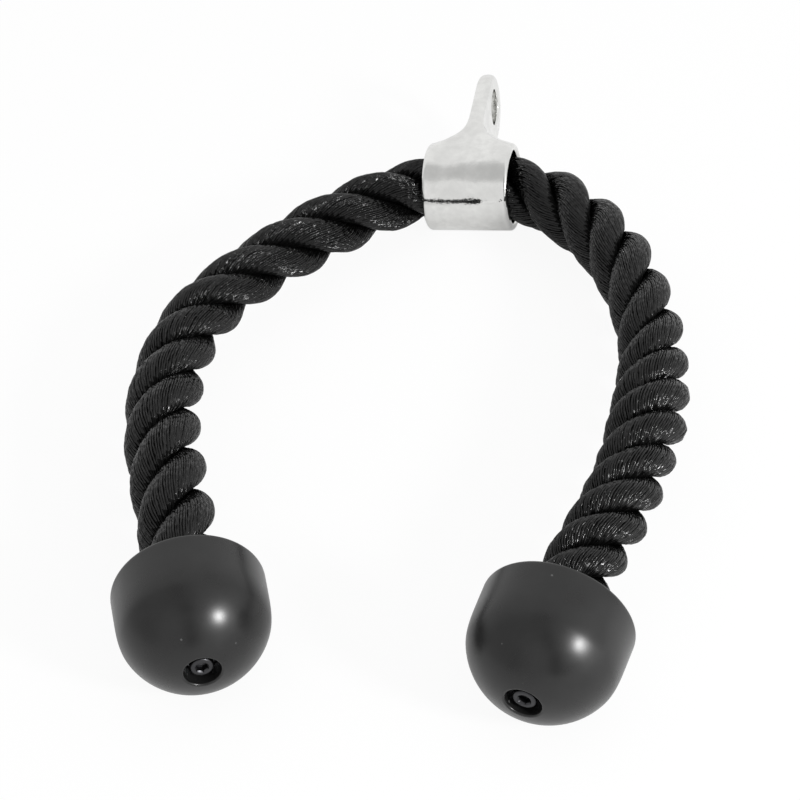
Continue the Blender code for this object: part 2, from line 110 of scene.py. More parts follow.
def look():
    """The camera."""
    data = bpy.data.cameras.new("camera")
    data.lens = LENS_MM
    data.sensor_width = SENSOR_MM
    data.clip_start, data.clip_end = CLIP_START, CLIP_END
    made = bpy.data.objects.new("camera", data)
    turn = Matrix((CAMERA_RIGHT, CAMERA_UP, CAMERA_RIGHT.cross(CAMERA_UP))).transposed()
    place = CAMERA_PLACE + Vector((BORE.x, BORE.y, 0.0))
    made.matrix_world = Matrix.Translation(place) @ turn.to_4x4()
    bpy.context.scene.collection.objects.link(made)
    bpy.context.scene.camera = made


look()


# Node helpers

def adder(tree):
    """A helper that adds a node to the tree. An input is a value, or a socket to link it to."""

    def add(kind, inputs=(), **settings):
        node = tree.nodes.new(kind)
        for key, value in settings.items():
            setattr(node, key, value)
        for slot, value in dict(inputs).items():
            if isinstance(value, bpy.types.NodeSocket):
                tree.links.new(value, node.inputs[slot])
            else:
                node.inputs[slot].default_value = value
        return node

    return add


def paint(name, **sockets):
    """A material, a helper that adds nodes to it and one that wires them to its Principled shader."""
    made = bpy.data.materials.new(name)
    made.use_nodes = True
    tree = made.node_tree
    shader = tree.nodes["Principled BSDF"]
    for key, value in sockets.items():
        socket = shader.inputs[key.replace("_", " ")]
        socket.default_value = (*value, 1.0) if isinstance(value, tuple) else value

    def wire(source, slot):
        tree.links.new(source, shader.inputs[slot])

    return made, adder(tree), wire


def calc(add, operation, *values):
    return add("ShaderNodeMath", dict(enumerate(values)), operation=operation).outputs[0]


def ramp(add, factor, source, target, **settings):
    """The factor, taken from one range of values to another."""
    ends = {"From Min": source[0], "From Max": source[1], "To Min": target[0], "To Max": target[1]}
    return add("ShaderNodeMapRange", {"Value": factor, **ends}, **settings).outputs[0]


def noise(add, at, scale, detail):
    return add("ShaderNodeTexNoise", {"Vector": at, "Scale": scale, "Detail": detail}).outputs[0]


def grey(add, tone):
    return add("ShaderNodeCombineColor", {0: tone, 1: tone, 2: tone}).outputs[0]


def bump(add, height, strength, depth, over=None):
    """The normal of a bump, on top of another bump's when that is given."""
    inputs = {"Strength": strength, "Distance": depth, "Height": height}
    if over is not None:
        inputs["Normal"] = over
    return add("ShaderNodeBump", inputs).outputs[0]


# Materials. Where a noise is taken to another range, its middle (0.3 to 0.7) is the part that counts.

NOISE_MIDDLE = (0.3, 0.7)
YARN_LEAN = 0.57  # how many yarns a filament crosses in a millimetre, as the yarns are twisted
YARN_DEPTH = 0.0004
DUST_R, DUST_TONE = 0.11, 0.06  # the largest speck's radius, in cells, and how much lighter specks are


def rope_paint(name, shine):
    """Shiny black filaments. UV runs across the yarns, 1 a yarn, and along them in millimetres."""
    made, add, wire = paint(name, Specular_IOR_Level=shine)
    uv = add("ShaderNodeUVMap", uv_map="yarn").outputs[0]
    parts = add("ShaderNodeSeparateXYZ", {0: uv})
    across, along = parts.outputs[0], parts.outputs[1]
    own = add("ShaderNodeTexWhiteNoise", {"W": calc(add, "FLOOR", across)}, noise_dimensions="1D").outputs[0]

    def streak(across_pace, along_pace, detail, lean=0.0):
        """Noise with its own pace across the yarns and along them. lean turns it from their direction."""
        leaning = calc(add, "MULTIPLY_ADD", along, -lean, across)
        start = calc(add, "MULTIPLY", leaning, across_pace)
        at = add("ShaderNodeCombineXYZ", {0: start, 1: calc(add, "MULTIPLY", along, along_pace)}).outputs[0]
        return noise(add, at, scale=1.0, detail=detail)

    fibre = streak(across_pace=6.0, along_pace=0.12, detail=2.0, lean=YARN_LEAN)
    patch = streak(across_pace=1.1, along_pace=0.30, detail=1.0)
    dip = streak(across_pace=0.8, along_pace=0.40, detail=0.0)
    # Painted shade: the base colour darkens towards the valleys between the yarns, where shade falls.
    off_middle = calc(add, "SUBTRACT", calc(add, "FRACT", across), 0.5)
    yarn_valley_shade = ramp(add, calc(add, "ABSOLUTE", off_middle), (0.28, 0.5), (1.0, 0.10))
    level = calc(add, "ADD", calc(add, "MULTIPLY", own, 0.4), calc(add, "MULTIPLY", fibre, 0.9))
    tone = calc(add, "MULTIPLY", ramp(add, level, (0.3, 1.0), (0.001, 0.005)), yarn_valley_shade)
    wire(grey(add, tone), "Base Color")
    wire(ramp(add, patch, (0.34, 0.60), (0.28, 0.13)), "Roughness")
    height = calc(add, "ADD", calc(add, "MULTIPLY", dip, 2.4), calc(add, "MULTIPLY", fibre, 0.13))
    wire(bump(add, height, strength=1.0, depth=YARN_DEPTH), "Normal")
    return made


def chrome_paint():
    """Plating over a casting: soft waves, a light mottling and a fine grain."""
    made, add, wire = paint("collar_chrome", Metallic=1.0)
    at = add("ShaderNodeTexCoord").outputs["Object"]
    broad = noise(add, at, scale=60.0, detail=1.0)
    middle = noise(add, at, scale=260.0, detail=2.0)
    fine = noise(add, at, scale=1500.0, detail=2.0)
    wire(ramp(add, middle, NOISE_MIDDLE, (0.04, 0.10)), "Roughness")
    tone = ramp(add, calc(add, "MULTIPLY", broad, middle), (0.12, 0.38), (0.68, 0.79))
    blue = calc(add, "MULTIPLY", tone, 0.98)
    wire(add("ShaderNodeCombineColor", {0: tone, 1: tone, 2: blue}).outputs[0], "Base Color")
    waves = bump(add, broad, strength=0.9, depth=0.0012)
    pits = bump(add, middle, strength=0.25, depth=0.0004, over=waves)
    wire(bump(add, fine, strength=0.10, depth=0.0002, over=pits), "Normal")
    return made


def rubber_paint(name, roughness):
    """Moulded black rubber with a fine grain and a few lighter specks of dust."""
    made, add, wire = paint(name, Roughness=roughness, Specular_IOR_Level=0.42)
    at = add("ShaderNodeTexCoord").outputs["Object"]
    grain = noise(add, at, scale=2400.0, detail=2.0)
    cloud = noise(add, at, scale=90.0, detail=3.0)
    cells = add("ShaderNodeTexVoronoi", {"Vector": at, "Scale": 260.0})
    spot = {"Vector": cells.outputs["Position"]}
    chosen = add("ShaderNodeTexWhiteNoise", spot, noise_dimensions="3D").outputs[0]
    size = ramp(add, chosen, (0.80, 1.0), (0.0, DUST_R))
    dust = calc(add, "LESS_THAN", cells.outputs["Distance"], size)
    tone = ramp(add, cloud, NOISE_MIDDLE, (0.006, 0.010))
    tone = calc(add, "ADD", tone, calc(add, "MULTIPLY", dust, DUST_TONE))
    wire(grey(add, tone), "Base Color")
    wire(ramp(add, cloud, NOISE_MIDDLE, (roughness - 0.03, roughness + 0.04)), "Roughness")
    wire(bump(add, grain, strength=0.10, depth=0.0001), "Normal")
    return made


def metal_paint(name, colour, roughness):
    """Plated or blackened steel, slightly cloudy."""
    made, add, wire = paint(name, Base_Color=colour, Roughness=roughness, Metallic=1.0)
    at = add("ShaderNodeTexCoord").outputs["Object"]
    cloud = noise(add, at, scale=500.0, detail=3.0)
    wire(ramp(add, cloud, NOISE_MIDDLE, (roughness - 0.06, roughness + 0.08)), "Roughness")
    wire(bump(add, cloud, strength=0.15, depth=0.0001), "Normal")
    return made


# Mesh helpers

def grid_mesh(name, rings, closed=False, uvs=None):
    """A closed mesh from rings of points with shape (ring, point, 3). Its ends get lids, or closed joins the
    last ring to the first. uvs are two grids (ring, point + 1)."""
    rows, cols = rings.shape[:2]
    index = np.arange(rows * cols).reshape(rows, cols)
    if closed:
        index = np.vstack([index, index[:1]])
    following = np.roll(index, -1, axis=1)
    corners = [index[:-1], following[:-1], following[1:], index[1:]]
    faces = np.stack(corners, axis=-1).reshape(-1, 4).tolist()
    if not closed:
        faces += [index[0][::-1].tolist(), index[-1].tolist()]
    mesh = bpy.data.meshes.new(name)
    mesh.from_pydata(rings.reshape(-1, 3).tolist(), [], faces)
    if uvs is not None:
        layer = mesh.uv_layers.new(name="yarn")
        found = [np.stack([w[:-1, :-1], w[:-1, 1:], w[1:, 1:], w[1:, :-1]], -1) for w in uvs]
        sides = np.stack(found, -1).reshape(-1, 2)
        flat = np.zeros((len(mesh.loops), 2))
        flat[: len(sides)] = sides
        layer.data.foreach_set("uv", flat.ravel())
    mesh.shade_smooth()
    return mesh


def link(name, mesh):
    made = bpy.data.objects.new(name, mesh)
    bpy.context.scene.collection.objects.link(made)
    return made


def join(name, meshes):
    """One object from several meshes."""
    made = [link(f"{name}_{k}", mesh) for k, mesh in enumerate(meshes)]
    with bpy.context.temp_override(active_object=made[0], selected_editable_objects=made):
        bpy.ops.object.join()
    made[0].name = name
    made[0].data.name = name
    return made[0]


def arc(centre, radius, start_deg, end_deg, steps):
    """Points (r, z) on an arc of a turned profile. 0 degrees points out, 90 up."""
    turns = np.radians(np.linspace(start_deg, end_deg, steps + 1))
    return [(centre[0] + radius * math.cos(t), centre[1] + radius * math.sin(t)) for t in turns]


def spun(profile, steps, shape=None):
    """Rings (ring, point, 3) of a profile of (r, z) points about Z. shape may change r by ring and turn."""
    turns = math.tau * np.arange(steps) / steps
    r, z = np.array(profile).T
    reach = r[:, None] + np.zeros(steps)
    if shape is not None:
        reach = shape(reach, turns)
    return np.stack([reach * np.cos(turns), reach * np.sin(turns), z[:, None] + np.zeros(steps)], -1)


def moved(rings, matrix):
    turn = np.array(matrix.to_3x3())
    return rings @ turn.T + np.array(matrix.translation)


# The rope's route, as in part.py

def route(side, length, shares, headings_deg):
    """The rope's points and their distance from the bore's middle, out to the end inside the stopper."""
    along = np.arange(-BARREL_HALF, length + ROPE_TAIL + ROUTE_STEP / 2, ROUTE_STEP)
    marks = [-(BARREL_HALF - CENTRE_HALF), *(s * length for s in shares)]
    turn = np.radians(np.interp(along, marks, [0.0, *headings_deg]))
    way = np.stack([side * np.cos(turn), -np.sin(turn), np.zeros_like(turn)], axis=1)
    points = np.zeros_like(way)
    points[1:] = np.cumsum(way[:-1] * ROUTE_STEP, axis=0)
    share = np.clip(along / length, 0, 1)
    rise = DOME_R + FACE_BACK * math.sin(PITCH) - BARREL_R
    dip = -math.tan(PITCH) * length
    points[:, 2] = rise * (3 - 2 * share) * share**2 + dip * (share - 1) * share**2
    points[:, 2] -= math.tan(PITCH) * np.maximum(along - length, 0)
    return points + np.array(BORE), along + BARREL_HALF


def nearest(gone, distance):
    """Which point of a route is that far from the collar's mouth."""
    return int(np.argmin(np.abs(gone - BARREL_HALF - distance)))


def seat(side, length, headings_deg, points, gone):
    """Where a stopper sits: Z along its axis to the screw, Y up."""
    turn = math.radians(headings_deg[-1])
    flat = Vector((side * math.cos(turn), -math.sin(turn), 0))
    way = flat * math.cos(PITCH) - Vector((0, 0, math.sin(PITCH)))
    face = Vector(points[nearest(gone, length)])
    across = Vector((0, 0, 1)).cross(way).normalized()
    axes = Matrix((across, way.cross(across), way)).transposed()
    return Matrix.Translation(face + way * FACE_BACK) @ axes.to_4x4()


# The rope: three strands laid to the right, each of yarns that lie nearly along the rope

STRANDS = 3
PHASE_DEG = 67.0  # where round the rope its first strand is, at the collar's middle
# Distance from the collar's middle, negative on the left leg, and the rope's lay there, as use has shifted it
LAYS = (
    (-0.320, 0.078), (-0.025, 0.078), (-0.015, 0.064), (0.015, 0.064), (0.025, 0.088),
    (0.135, 0.088), (0.180, 0.058), (0.215, 0.056), (0.290, 0.0515), (0.320, 0.0515),
)
LAY_REACH = 0.33  # the lay is summed up this far both ways
# And how thick the rope is there: the collar and the cups press it
GIRTH_SHARES = (
    (-0.330, 0.94), (-0.316, 0.96), (-0.306, 1.05), (-0.250, 1.065), (-0.215, 1.06), (-0.185, 1.02),
    (-0.158, 0.99), (-0.130, 0.96), (-0.105, 0.97), (-0.080, 1.03), (-0.050, 1.02), (-0.024, 1.0),
    (-0.017, 0.97), (0.017, 0.97), (0.024, 1.0), (0.043, 1.045), (0.070, 1.015), (0.098, 0.99),
    (0.125, 0.94), (0.172, 0.95), (0.192, 1.02), (0.212, 1.06), (0.232, 0.98), (0.297, 0.95),
    (0.307, 0.94), (0.330, 0.94),
)
STRAND_OUT = 0.0072  # from the rope's middle to a strand's
STRAND_R = 0.0073
STRAND_WIDE = 1.12  # how much wider than high it is
STRAND_GAP = 0.00012  # between a strand's flat and the plane where it meets the next
WEDGE = math.pi / STRANDS
STRAND_FLAT = STRAND_OUT * math.sin(WEDGE) - STRAND_GAP  # from its middle to that flat
STRAND_BLEND = 0.0016  # over which its round side turns into that flat
FLAT_LEAN = 0.02  # the least lean towards that plane that can meet it
NO_FLAT = 1.0  # a length far outside the strand, for directions that meet no flat
YARNS, SIDES = 48, 4  # yarns round a strand, and points across a yarn
YARN_SHARES = (0.0, 0.80, 1.0, 0.80)  # of a yarn's rise, at each of the points across it
YARN_RISE, YARN_WAVE = 0.00050, 0.00006
YARN_UNEVEN, UNEVEN_MOST = 0.20, 2  # how much the rise varies from yarn to yarn, and where that is cut off
YARN_DRIFT = 0.35  # how far yarns stray to the side, in yarns
DRIFT_LENGTHS, WAVE_LENGTHS = (0.0045, 0.0110), (0.0014, 0.0023, 0.0047, 0.0083)  # along a yarn, per radian
TWIST = 1.77  # turns of the yarns round their strand, against the lay, for each turn of the strands
RING = 0.002  # along the rope, between the rings of a strand
# How far round from its crown a strand takes the darker coat of painted shade, deep towards the grooves
# between strands, on the side that faces right where the legs run to the front, by leg, and on its other side
GROOVE_SHADE_RIGHT = {-1: math.radians(96), 1: math.radians(87)}
GROOVE_SHADE_LEFT = math.radians(101)
GROOVE_SHADE_RAGGED = 0.02  # how much that edge wanders with the yarns' waves
UV_STRAND, UV_MM = 100.0, 1000  # added across for each strand, and millimetres in a metre
CREASE = math.radians(60)

LEFT_SEED, RIGHT_SEED = 3, 5  # of the yarns' random draws


def folded(theta):
    """How far round from 0, either way."""
    return np.abs((theta + math.pi) % math.tau - math.pi)


def strand_outline(theta):
    """How far a strand's skin is from the strand's middle, towards theta. 0 points out of the rope. It's an
    ellipse, pressed flat where it meets the other two strands."""
    ellipse = STRAND_R * STRAND_WIDE / np.sqrt((STRAND_WIDE * np.cos(theta)) ** 2 + np.sin(theta) ** 2)
    lean = np.sin(folded(theta) - WEDGE)
    flat = np.where(lean > FLAT_LEAN, STRAND_FLAT / np.maximum(lean, FLAT_LEAN), NO_FLAT)
    gap = np.maximum(STRAND_BLEND - np.abs(ellipse - flat), 0.0) / STRAND_BLEND
    return np.minimum(ellipse, flat) - gap * gap * STRAND_BLEND / 4


def laid(at):
    """The turn of the rope's strands at distances from the collar's middle."""
    fine = np.arange(-LAY_REACH, LAY_REACH, ROUTE_STEP)
    rate = math.tau / np.interp(fine, *zip(*LAYS))
    turn = np.cumsum(rate) * ROUTE_STEP
    return np.interp(at, fine, turn) - np.interp(0.0, fine, turn) + math.radians(PHASE_DEG)


def axes_along(points):
    """Unit directions across the rope and up from it, at each of its points."""
    tangent = np.gradient(points, axis=0)
    tangent /= np.linalg.norm(tangent, axis=1)[:, None]
    up = np.array([0.0, 0.0, 1.0]) - tangent[:, 2:3] * tangent
    up /= np.linalg.norm(up, axis=1)[:, None]
    return np.cross(up, tangent), up


def ripple(rng, gone, which, low, high, lengths):
    """Waves along the yarns. Each yarn draws its own height, from low to high, and its own start."""
    total = 0
    for length in lengths:
        height = rng.uniform(low, high, YARNS)[which][None, :]
        start = rng.uniform(0, math.tau, YARNS)[which][None, :]
        total = total + height * np.sin(gone[:, None] / length + start)
    return total


def strand(name, side, line, gone, k, rng, coats):
    """The mesh of strand k. line holds the rope's points and its directions across and up."""
    points, across, up = line
    count = YARNS * SIDES
    which = np.arange(count) // SIDES
    rise = np.array(YARN_SHARES)[np.arange(count) % SIDES]
    girth = np.interp(gone, *zip(*GIRTH_SHARES))[:, None]
    turn = laid(gone)
    middle = turn + math.tau * k / STRANDS
    drift = ripple(rng, gone, which, -0.5, 0.5, DRIFT_LENGTHS)
    place = np.arange(count)[None, :] / count + YARN_DRIFT * drift / YARNS
    theta = math.tau * place - TWIST * turn[:, None]
    reach = strand_outline(theta)
    own = (1 + YARN_UNEVEN * rng.standard_normal(YARNS).clip(-UNEVEN_MOST, UNEVEN_MOST))[which]
    wave = ripple(rng, gone, which, 0.4, 1.0, WAVE_LENGTHS)
    reach = reach + YARN_RISE * (rise * own)[None, :] + YARN_WAVE * wave - YARN_RISE
    out = np.cos(middle)[:, None] * across + np.sin(middle)[:, None] * up
    onward = -np.sin(middle)[:, None] * across + np.cos(middle)[:, None] * up
    x = girth * (STRAND_OUT + reach * np.cos(theta))
    y = girth * reach * np.sin(theta)
    rings = points[:, None] + x[..., None] * out[:, None] + y[..., None] * onward[:, None]
    u = np.arange(count + 1)[None, :] / SIDES + UV_STRAND * k + np.zeros((len(gone), 1))
    v = UV_MM * gone[:, None] + np.zeros((1, count + 1))
    mesh = grid_mesh(name, rings, uvs=(u, v))
    for coat in coats:
        mesh.materials.append(coat)
    # Painted shade: faces far round from the crown, towards the grooves between strands, take the darker
    # second coat.
    from_crown = folded(theta) + GROOVE_SHADE_RAGGED * wave
    in_groove_shade = from_crown > np.where(side * np.sin(theta) < 0, GROOVE_SHADE_RIGHT[side], GROOVE_SHADE_LEFT)
    slots = np.zeros(len(mesh.polygons), dtype=np.int32)
    slots[: in_groove_shade[:-1].size] = in_groove_shade[:-1].ravel()
    mesh.polygons.foreach_set("material_index", slots)
    return mesh


def laid_rope(name, side, points, gone, seed, coats):
    """One half of the rope. Its first coat is the usual one; the second, darker, is painted shade deep
    between the strands.
    """
    step = round(RING / (gone[1] - gone[0]))
    keep = np.unique(np.r_[np.arange(0, len(gone), step), len(gone) - 1])
    points, gone = points[keep], gone[keep]
    if side < 0:
        points, gone = points[::-1], -gone[::-1]
    line = (points, *axes_along(points))
    rng = np.random.default_rng(seed)
    made = join(name, [strand(f"{name}_{k}", side, line, gone, k, rng, coats) for k in range(STRANDS)])
    made.data.set_sharp_from_angle(angle=CREASE)
    return made


# The second coat is painted shade: less shine for the faces deep between the strands.
yarns = (rope_paint("rope_yarn", shine=0.33), rope_paint("rope_yarn_painted_shade", shine=0.07))
seats = {}
for side_name, side, length, shares, headings, seed in (
    ("left", -1, LEFT_LENGTH, LEFT_ROUTE_SHARES, LEFT_HEADINGS_DEG, LEFT_SEED),
    ("right", 1, RIGHT_LENGTH, RIGHT_ROUTE_SHARES, RIGHT_HEADINGS_DEG, RIGHT_SEED),
):
    points, gone = route(side, length, shares, headings)
    seats[side_name] = seat(side, length, headings, points, gone)
    rope = laid_rope(f"rope_{side_name}", side, points, gone, seed, yarns)
    middle = ["rope_centre"] if side < 0 else []
    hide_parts(f"rope_bend_{side_name}", f"rope_leg_{side_name}", *middle)
    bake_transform(rope)


# The collar, drawn as in part.py but with finer steps, about its bore and with the eye along +Y

EYE_STEPS, FLANK_STEPS, BACK_STEPS = 26, 30, 44
RIM_STEPS, FLARE_STEPS, ROUND_STEPS = 6, 20, 6
FLANK_CROWDING = 1.3  # above 1, the steps beside the barrel lie closer
CLIMB_ROUNDS = 30
BORE_SIDES, EYE_SIDES = 120, 80
COLLAR_CREASE = math.radians(38)


def outline(turn):
    """How far the outline is from the bore's axis, in a direction turned away from the eye's."""
    if turn <= TOUCH:
        off = EYE_REACH * math.sin(turn)
        return EYE_REACH * math.cos(turn) + math.sqrt(max(EYE_R * EYE_R - off * off, 0.0))
    if turn < math.pi / 2 - LEAN:
        return BARREL_R / math.cos(math.pi / 2 - LEAN - turn)
    return BARREL_R


def directions():
    """The directions in which the skin is drawn, from the eye's all the way round."""
    eye = [(math.pi / 2 - LEAN) * k / EYE_STEPS for k in range(EYE_STEPS)]
    found = [math.atan2(EYE_R * math.sin(a), EYE_REACH + EYE_R * math.cos(a)) for a in eye]
    whole = math.tan(math.pi / 2 - LEAN - TOUCH)
    for k in range(FLANK_STEPS):
        found.append(math.pi / 2 - LEAN - math.atan(whole * (1 - k / FLANK_STEPS) ** FLANK_CROWDING))
    first = math.pi / 2 - LEAN
    found += [first + (math.pi - first) * k / BACK_STEPS for k in range(BACK_STEPS + 1)]
    return found + [-turn for turn in reversed(found[1:-1])]


def flare(t):
    """A point (x, height over the barrel) of the flare's curve, from the barrel's rim up to the plate."""
    foot, knee, top = (PLATE_HALF + FLARE_RUN, 0.0), (PLATE_HALF, FLARE_KNEE), (PLATE_HALF, FLARE_RISE)
    a, b, c, d = (1 - t) ** 3, 3 * (1 - t) ** 2 * t, 3 * (1 - t) * t * t, t**3
    bends = [
        (f + FLARE_PULL_SHARE * (k - f), n + FLARE_PULL_SHARE * (k - n)) for f, k, n in zip(foot, knee, top)
    ]
    return tuple(a * f + b * near + c * far + d * n for f, (near, far), n in zip(foot, bends, top))


def climb(height):
    """Where along the flare's curve it has that height."""
    low, high = 0.0, 1.0
    for _ in range(CLIMB_ROUNDS):
        middle = (low + high) / 2
        low, high = (middle, high) if flare(middle)[1] < height else (low, middle)
    return high


def skin(turn):
    """(x, distance from the bore's axis) from the rim to the middle, in one direction."""
    edge = (BARREL_HALF - RIM_ROUND, BARREL_R - RIM_ROUND)
    found = arc(edge, RIM_ROUND, 0, 90, RIM_STEPS)
    room = outline(turn) - BARREL_R
    soften = min(PLATE_ROUND, room * SOFTEN_SHARE)
    end = climb(room - soften) if room > soften else 0.0
    for k in range(1, FLARE_STEPS + 1):
        x, height = flare(end * k / FLARE_STEPS)
        found.append((x, BARREL_R + height))
    found.append((found[-1][0], BARREL_R + room - soften))
    start, corner = found[-1], (flare(climb(room))[0] if room > 0 else found[-1][0], BARREL_R + room)
    stop = (corner[0] - soften, corner[1])
    for k in range(1, ROUND_STEPS + 1):
        t = k / ROUND_STEPS
        a, b, c = (1 - t) ** 2, 2 * t * (1 - t), t * t
        found.append(tuple(a * s + b * m + c * e for s, m, e in zip(start, corner, stop)))
    return found


def hole_cutter(name, radius, rounding, half, matrix, steps):
    """A turned cutter whose ends widen, so that the hole's edges come out rounded."""
    past = half + rounding
    right = arc((radius + rounding, half - rounding), rounding, 90, 180, ROUND_STEPS)
    left = [(r, -z) for r, z in reversed(right)]
    profile = [(radius + rounding, past), *right, *left, (radius + rounding, -past)]
    return link(name, grid_mesh(name, moved(spun(profile, steps)[::-1], matrix)))


def cut(body, cutters):
    """Takes the cutters' shapes out of the body, and the cutters out of the scene."""
    for cutter in cutters:
        made = body.modifiers.new(cutter.name, "BOOLEAN")
        made.operation = "DIFFERENCE"
        made.solver = "EXACT"
        made.object = cutter
    graph = bpy.context.evaluated_depsgraph_get()
    mesh = bpy.data.meshes.new_from_object(body.evaluated_get(graph))
    body.modifiers.clear()
    body.data = mesh
    for cutter in cutters:
        bpy.data.objects.remove(cutter, do_unlink=True)


def make_collar():
    """The barrel, the eye plate and the flares in one, with the bore and the eye's hole cut."""
    turns = np.array(directions())
    skins = np.array([skin(abs(turn)) for turn in turns])
    x, reach = skins[..., 0].T, skins[..., 1].T
    half = np.stack([x, reach * np.cos(turns), reach * np.sin(turns)], -1)
    other = half * np.array([-1.0, 1.0, 1.0])
    lift = Matrix.Translation(BORE) @ Matrix.Rotation(math.radians(EYE_LIFT_DEG), 4, "X")
    body = link("collar_shell", grid_mesh("collar_shell", moved(np.vstack([other, half[::-1]]), lift)))
    along = Matrix.Rotation(math.pi / 2, 4, "Y")
    at_bore = Matrix.Translation(BORE) @ along
    at_eye = lift @ Matrix.Translation((0, EYE_REACH, 0)) @ along
    cut(body, [
        hole_cutter("bore_cutter", BORE_R, MOUTH_ROUND, BARREL_HALF, at_bore, BORE_SIDES),
        hole_cutter("eye_cutter", EYE_HOLE_R, EYE_HOLE_ROUND, PLATE_HALF, at_eye, EYE_SIDES),
    ])
    body.data.shade_smooth()
    body.data.set_sharp_from_angle(angle=COLLAR_CREASE)
    return body


chrome = chrome_paint()
collar = make_collar()
collar.data.materials.clear()
collar.data.materials.append(chrome)
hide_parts("collar")
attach(collar, "collar")


# Stoppers: a dome on a skirt that widens a little towards its flat face

BALL_R, BALL_SHIFT = 0.0280, 0.0002  # the sphere that the dome follows
SKIRT_TOP, SKIRT_LOW = 0.0275, 0.0282  # radii of the skirt at SKIRT_FROM and near the face
SKIRT_FROM = 0.0058
BLEND = 0.0012  # over which the dome turns into the skirt
DOME_END_DEG = 12.0  # over the sphere's equator
DOME_STEPS, SKIRT_STEPS, FACE_STEPS, LIP_STEPS = 45, 19, 8, 6
SKIRT_GAP = 0.0006  # between the dome's last ring and the skirt's first
STOPPER_SIDES = 160
CREASE_FINE = math.radians(35)
STRETCHES = {"left": (1.018, 1.0), "right": (1.0, 0.978)}  # across and along the axis, as photographed

# Cap screw
KNURLS, KNURL_DEPTH = 48, 0.00016
SCREW_SIDES = 192
HEAD_BEVEL = 0.0003  # of the head's lower edge
GRIP_FROM, GRIP_TO = 0.0020, 0.0010  # the knurls' middle over the head's foot, and their end under its top
FACE_R, EDGE_ROUND, EDGE_STEPS = 0.00345, 0.0008, 5  # the head's flat face inside its turned edge
SOCKET_RIM, SOCKET_RIM_WIDE, SOCKET_RIM_DROP = 0.00022, 0.0001, 0.00005  # the small bevel round the socket
SOCKET_BEVEL = 0.0006  # how deep that bevel runs into the six flats
DRILL_R, DRILL_STEP, DRILL_DEPTH = 0.0012, 0.0001, 0.0007  # the drilled cone in the socket's floor
POLE_R = 0.0002  # a ring's radius where a lid closes the screw


def stopper_radius(z):
    """The outer radius at a height past the dome's centre."""
    ball = math.sqrt(max(BALL_R**2 - max(z - BALL_SHIFT, 0.0) ** 2, 0.0))
    back = (SKIRT_FROM - z) / (SKIRT_FROM + FACE_BACK - FACE_ROUND)
    line = SKIRT_TOP + (SKIRT_LOW - SKIRT_TOP) * back
    gap = max(BLEND - abs(ball - line), 0.0) / BLEND
    return min(ball, line) - gap * gap * BLEND / 4


def stopper_profile():
    """From the recess's edge over the dome and the skirt to the face, and back inside to the recess."""
    lip = RECESS_R + RECESS_ROUND
    mouth = BALL_SHIFT + math.sqrt(BALL_R**2 - lip**2)
    tilt = math.degrees(math.asin(lip / BALL_R))
    edge = arc((lip, mouth - RECESS_ROUND), RECESS_ROUND, 180, 90 - tilt, LIP_STEPS)
    turns = np.radians(np.linspace(90 - tilt, DOME_END_DEG, DOME_STEPS + 1)[1:])
    heights = [BALL_SHIFT + BALL_R * math.sin(t) for t in turns]
    low = FACE_ROUND - FACE_BACK
    heights += list(np.linspace(heights[-1] - SKIRT_GAP, low, SKIRT_STEPS + 1))
    shell = [(stopper_radius(z), z) for z in heights]
    face = arc((shell[-1][0] - FACE_ROUND, low), FACE_ROUND, 0, -90, FACE_STEPS)[1:]
    lips = arc((SOCKET_R + SOCKET_LIP, SOCKET_LIP - FACE_BACK), SOCKET_LIP, -90, -180, LIP_STEPS)
    inside = [(SOCKET_R, SHELF), (HOLE_R, SHELF), (HOLE_R, RECESS_FLOOR), (RECESS_R, RECESS_FLOOR)]
    return [*edge, *shell, *face, *lips, *inside]


def screw_rings():
    """From the shank's tip up round the head and down into the socket, with knurls and six flats."""
    bevel = HEX_FLATS / math.sqrt(3) + SOCKET_RIM
    floor = HEAD_TOP - HEX_DEPTH
    shank = [
        (POLE_R, SHANK_LOW), (SHANK_R - SHANK_TIP, SHANK_LOW), (SHANK_R, SHANK_LOW + SHANK_TIP),
        (SHANK_R, HEAD_LOW), (HEAD_R - HEAD_BEVEL, HEAD_LOW),
    ]
    grip = [(HEAD_R, HEAD_LOW + HEAD_BEVEL), (HEAD_R, HEAD_LOW + GRIP_FROM), (HEAD_R, HEAD_TOP - GRIP_TO)]
    face = [
        *arc((FACE_R, HEAD_TOP - EDGE_ROUND), EDGE_ROUND, 0, 90, EDGE_STEPS),
        (bevel + SOCKET_RIM_WIDE, HEAD_TOP), (bevel, HEAD_TOP - SOCKET_RIM_DROP),
    ]
    flats = [(HEX_FLATS / 2, HEAD_TOP - SOCKET_BEVEL), (HEX_FLATS / 2, floor)]
    drill = [(DRILL_R, floor - DRILL_STEP), (POLE_R, floor - DRILL_DEPTH)]
    first_grip = len(shank)
    first_flat = first_grip + len(grip) + len(face)

    def shape(reach, turns):
        ribs = 0.5 + 0.5 * np.cos(KNURLS * turns)
        reach[first_grip : first_grip + len(grip)] -= KNURL_DEPTH * ribs
        off_flat = (turns + math.pi / 6) % (math.pi / 3) - math.pi / 6
        reach[first_flat : first_flat + len(flats)] = HEX_FLATS / 2 / np.cos(off_flat)
        return reach

    return spun([*shank, *grip, *face, *flats, *drill], SCREW_SIDES, shape)


def stand_in(name, mesh, node, body, coat):
    """A piece of the scene that takes a CAD node's place and moves with that body."""
    made = link(name, mesh)
    made.data.set_sharp_from_angle(angle=CREASE_FINE)
    made.data.materials.append(coat)
    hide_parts(node)
    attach(made, body)


